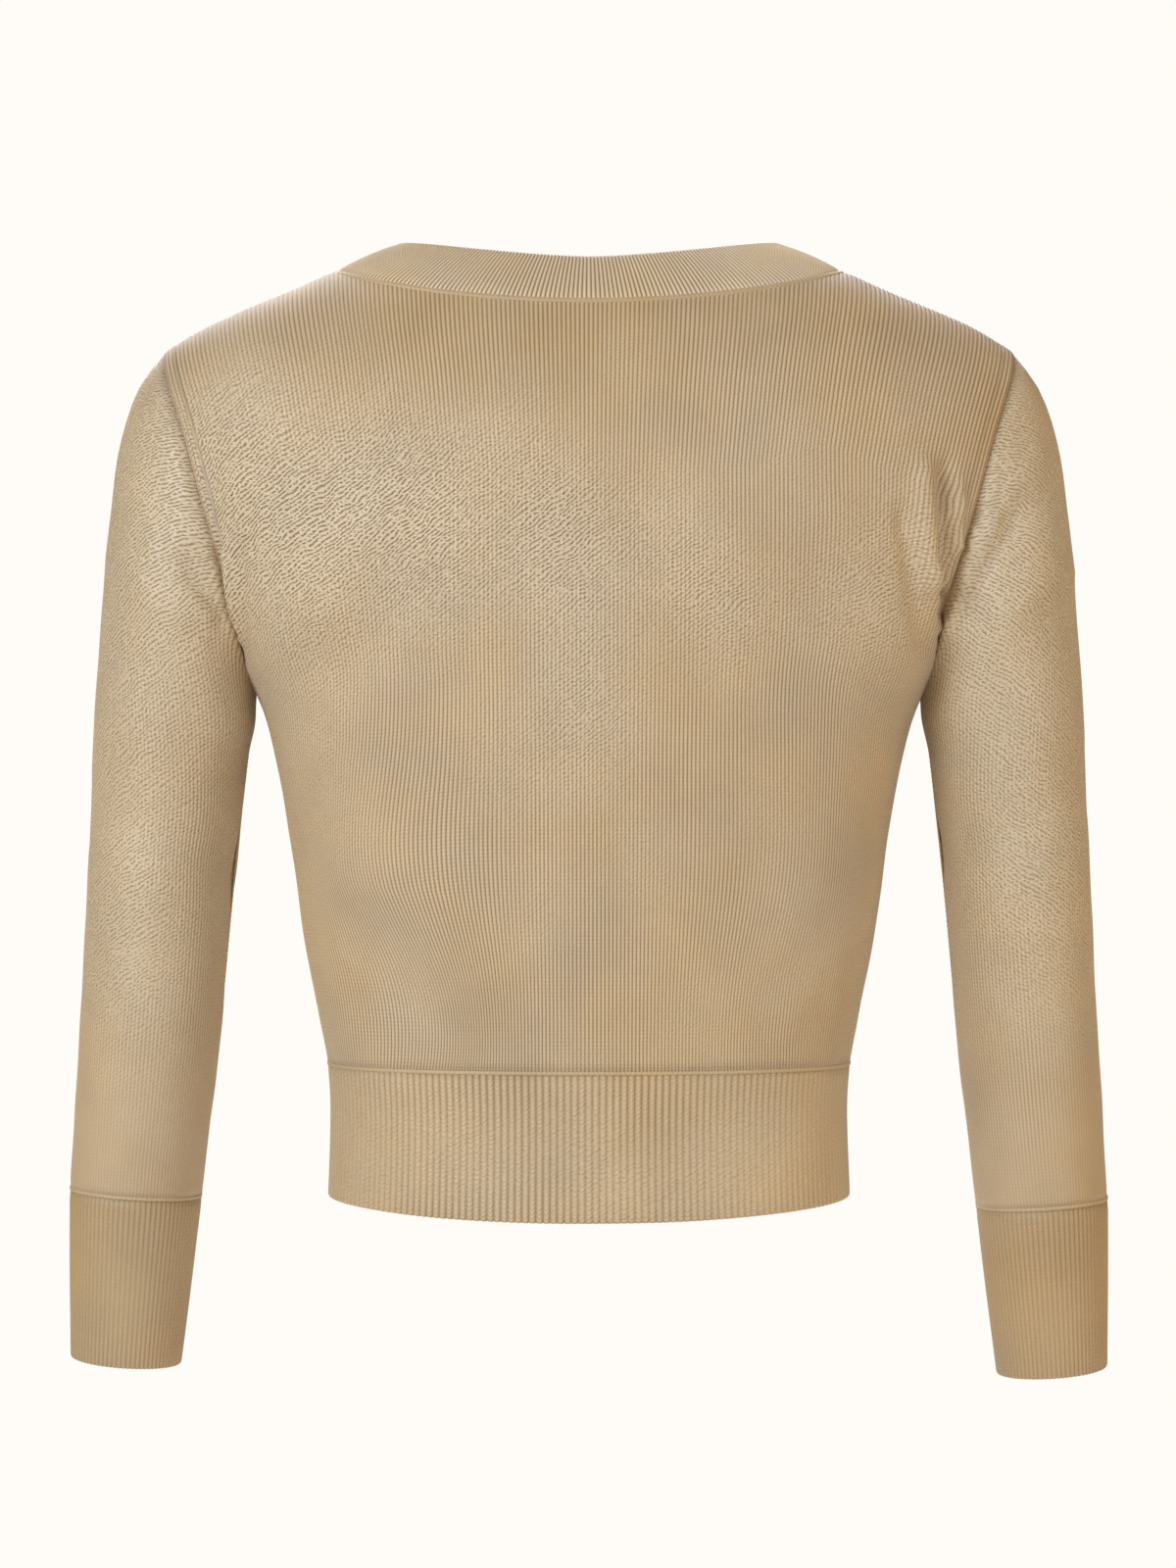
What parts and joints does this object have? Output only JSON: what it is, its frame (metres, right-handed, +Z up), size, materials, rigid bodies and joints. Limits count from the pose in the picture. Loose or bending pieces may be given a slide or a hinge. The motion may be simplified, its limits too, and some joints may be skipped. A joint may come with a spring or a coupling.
{
  "type": "bolero",
  "caption": "Cropped open-fronted rib-knit cardigan with three-quarter sleeves and deep ribbed hem, cuffs and neck band, filled out as worn.",
  "frame": {"origin": "midway between the two side-neck points, where the shoulder seams meet the neck band and the wearer's shoulders carry it", "axes": "+Z up the wearer's body, +Y towards the back of the garment, +X towards its left sleeve"},
  "size_m": [0.4604, 0.204, 0.4983],
  "materials": {
    "fine_rib_knit": "fine viscose rib knit, beige, soft low sheen",
    "band_rib_knit": "thicker ribbed knit bands, beige, soft low sheen",
    "seam_yarn": "linked seams in the same yarn"
  },
  "bodies": {
    "root": {"back": "fine_rib_knit", "front_left": "fine_rib_knit", "front_right": "fine_rib_knit", "sleeve_left": "fine_rib_knit", "sleeve_right": "fine_rib_knit", "cuff_left": "band_rib_knit", "cuff_right": "band_rib_knit", "hem_back": "band_rib_knit", "hem_front_left": "band_rib_knit", "hem_front_right": "band_rib_knit", "neck_band": "band_rib_knit", "front_band_left": "band_rib_knit", "front_band_right": "band_rib_knit"}
  },
  "joints": []
}
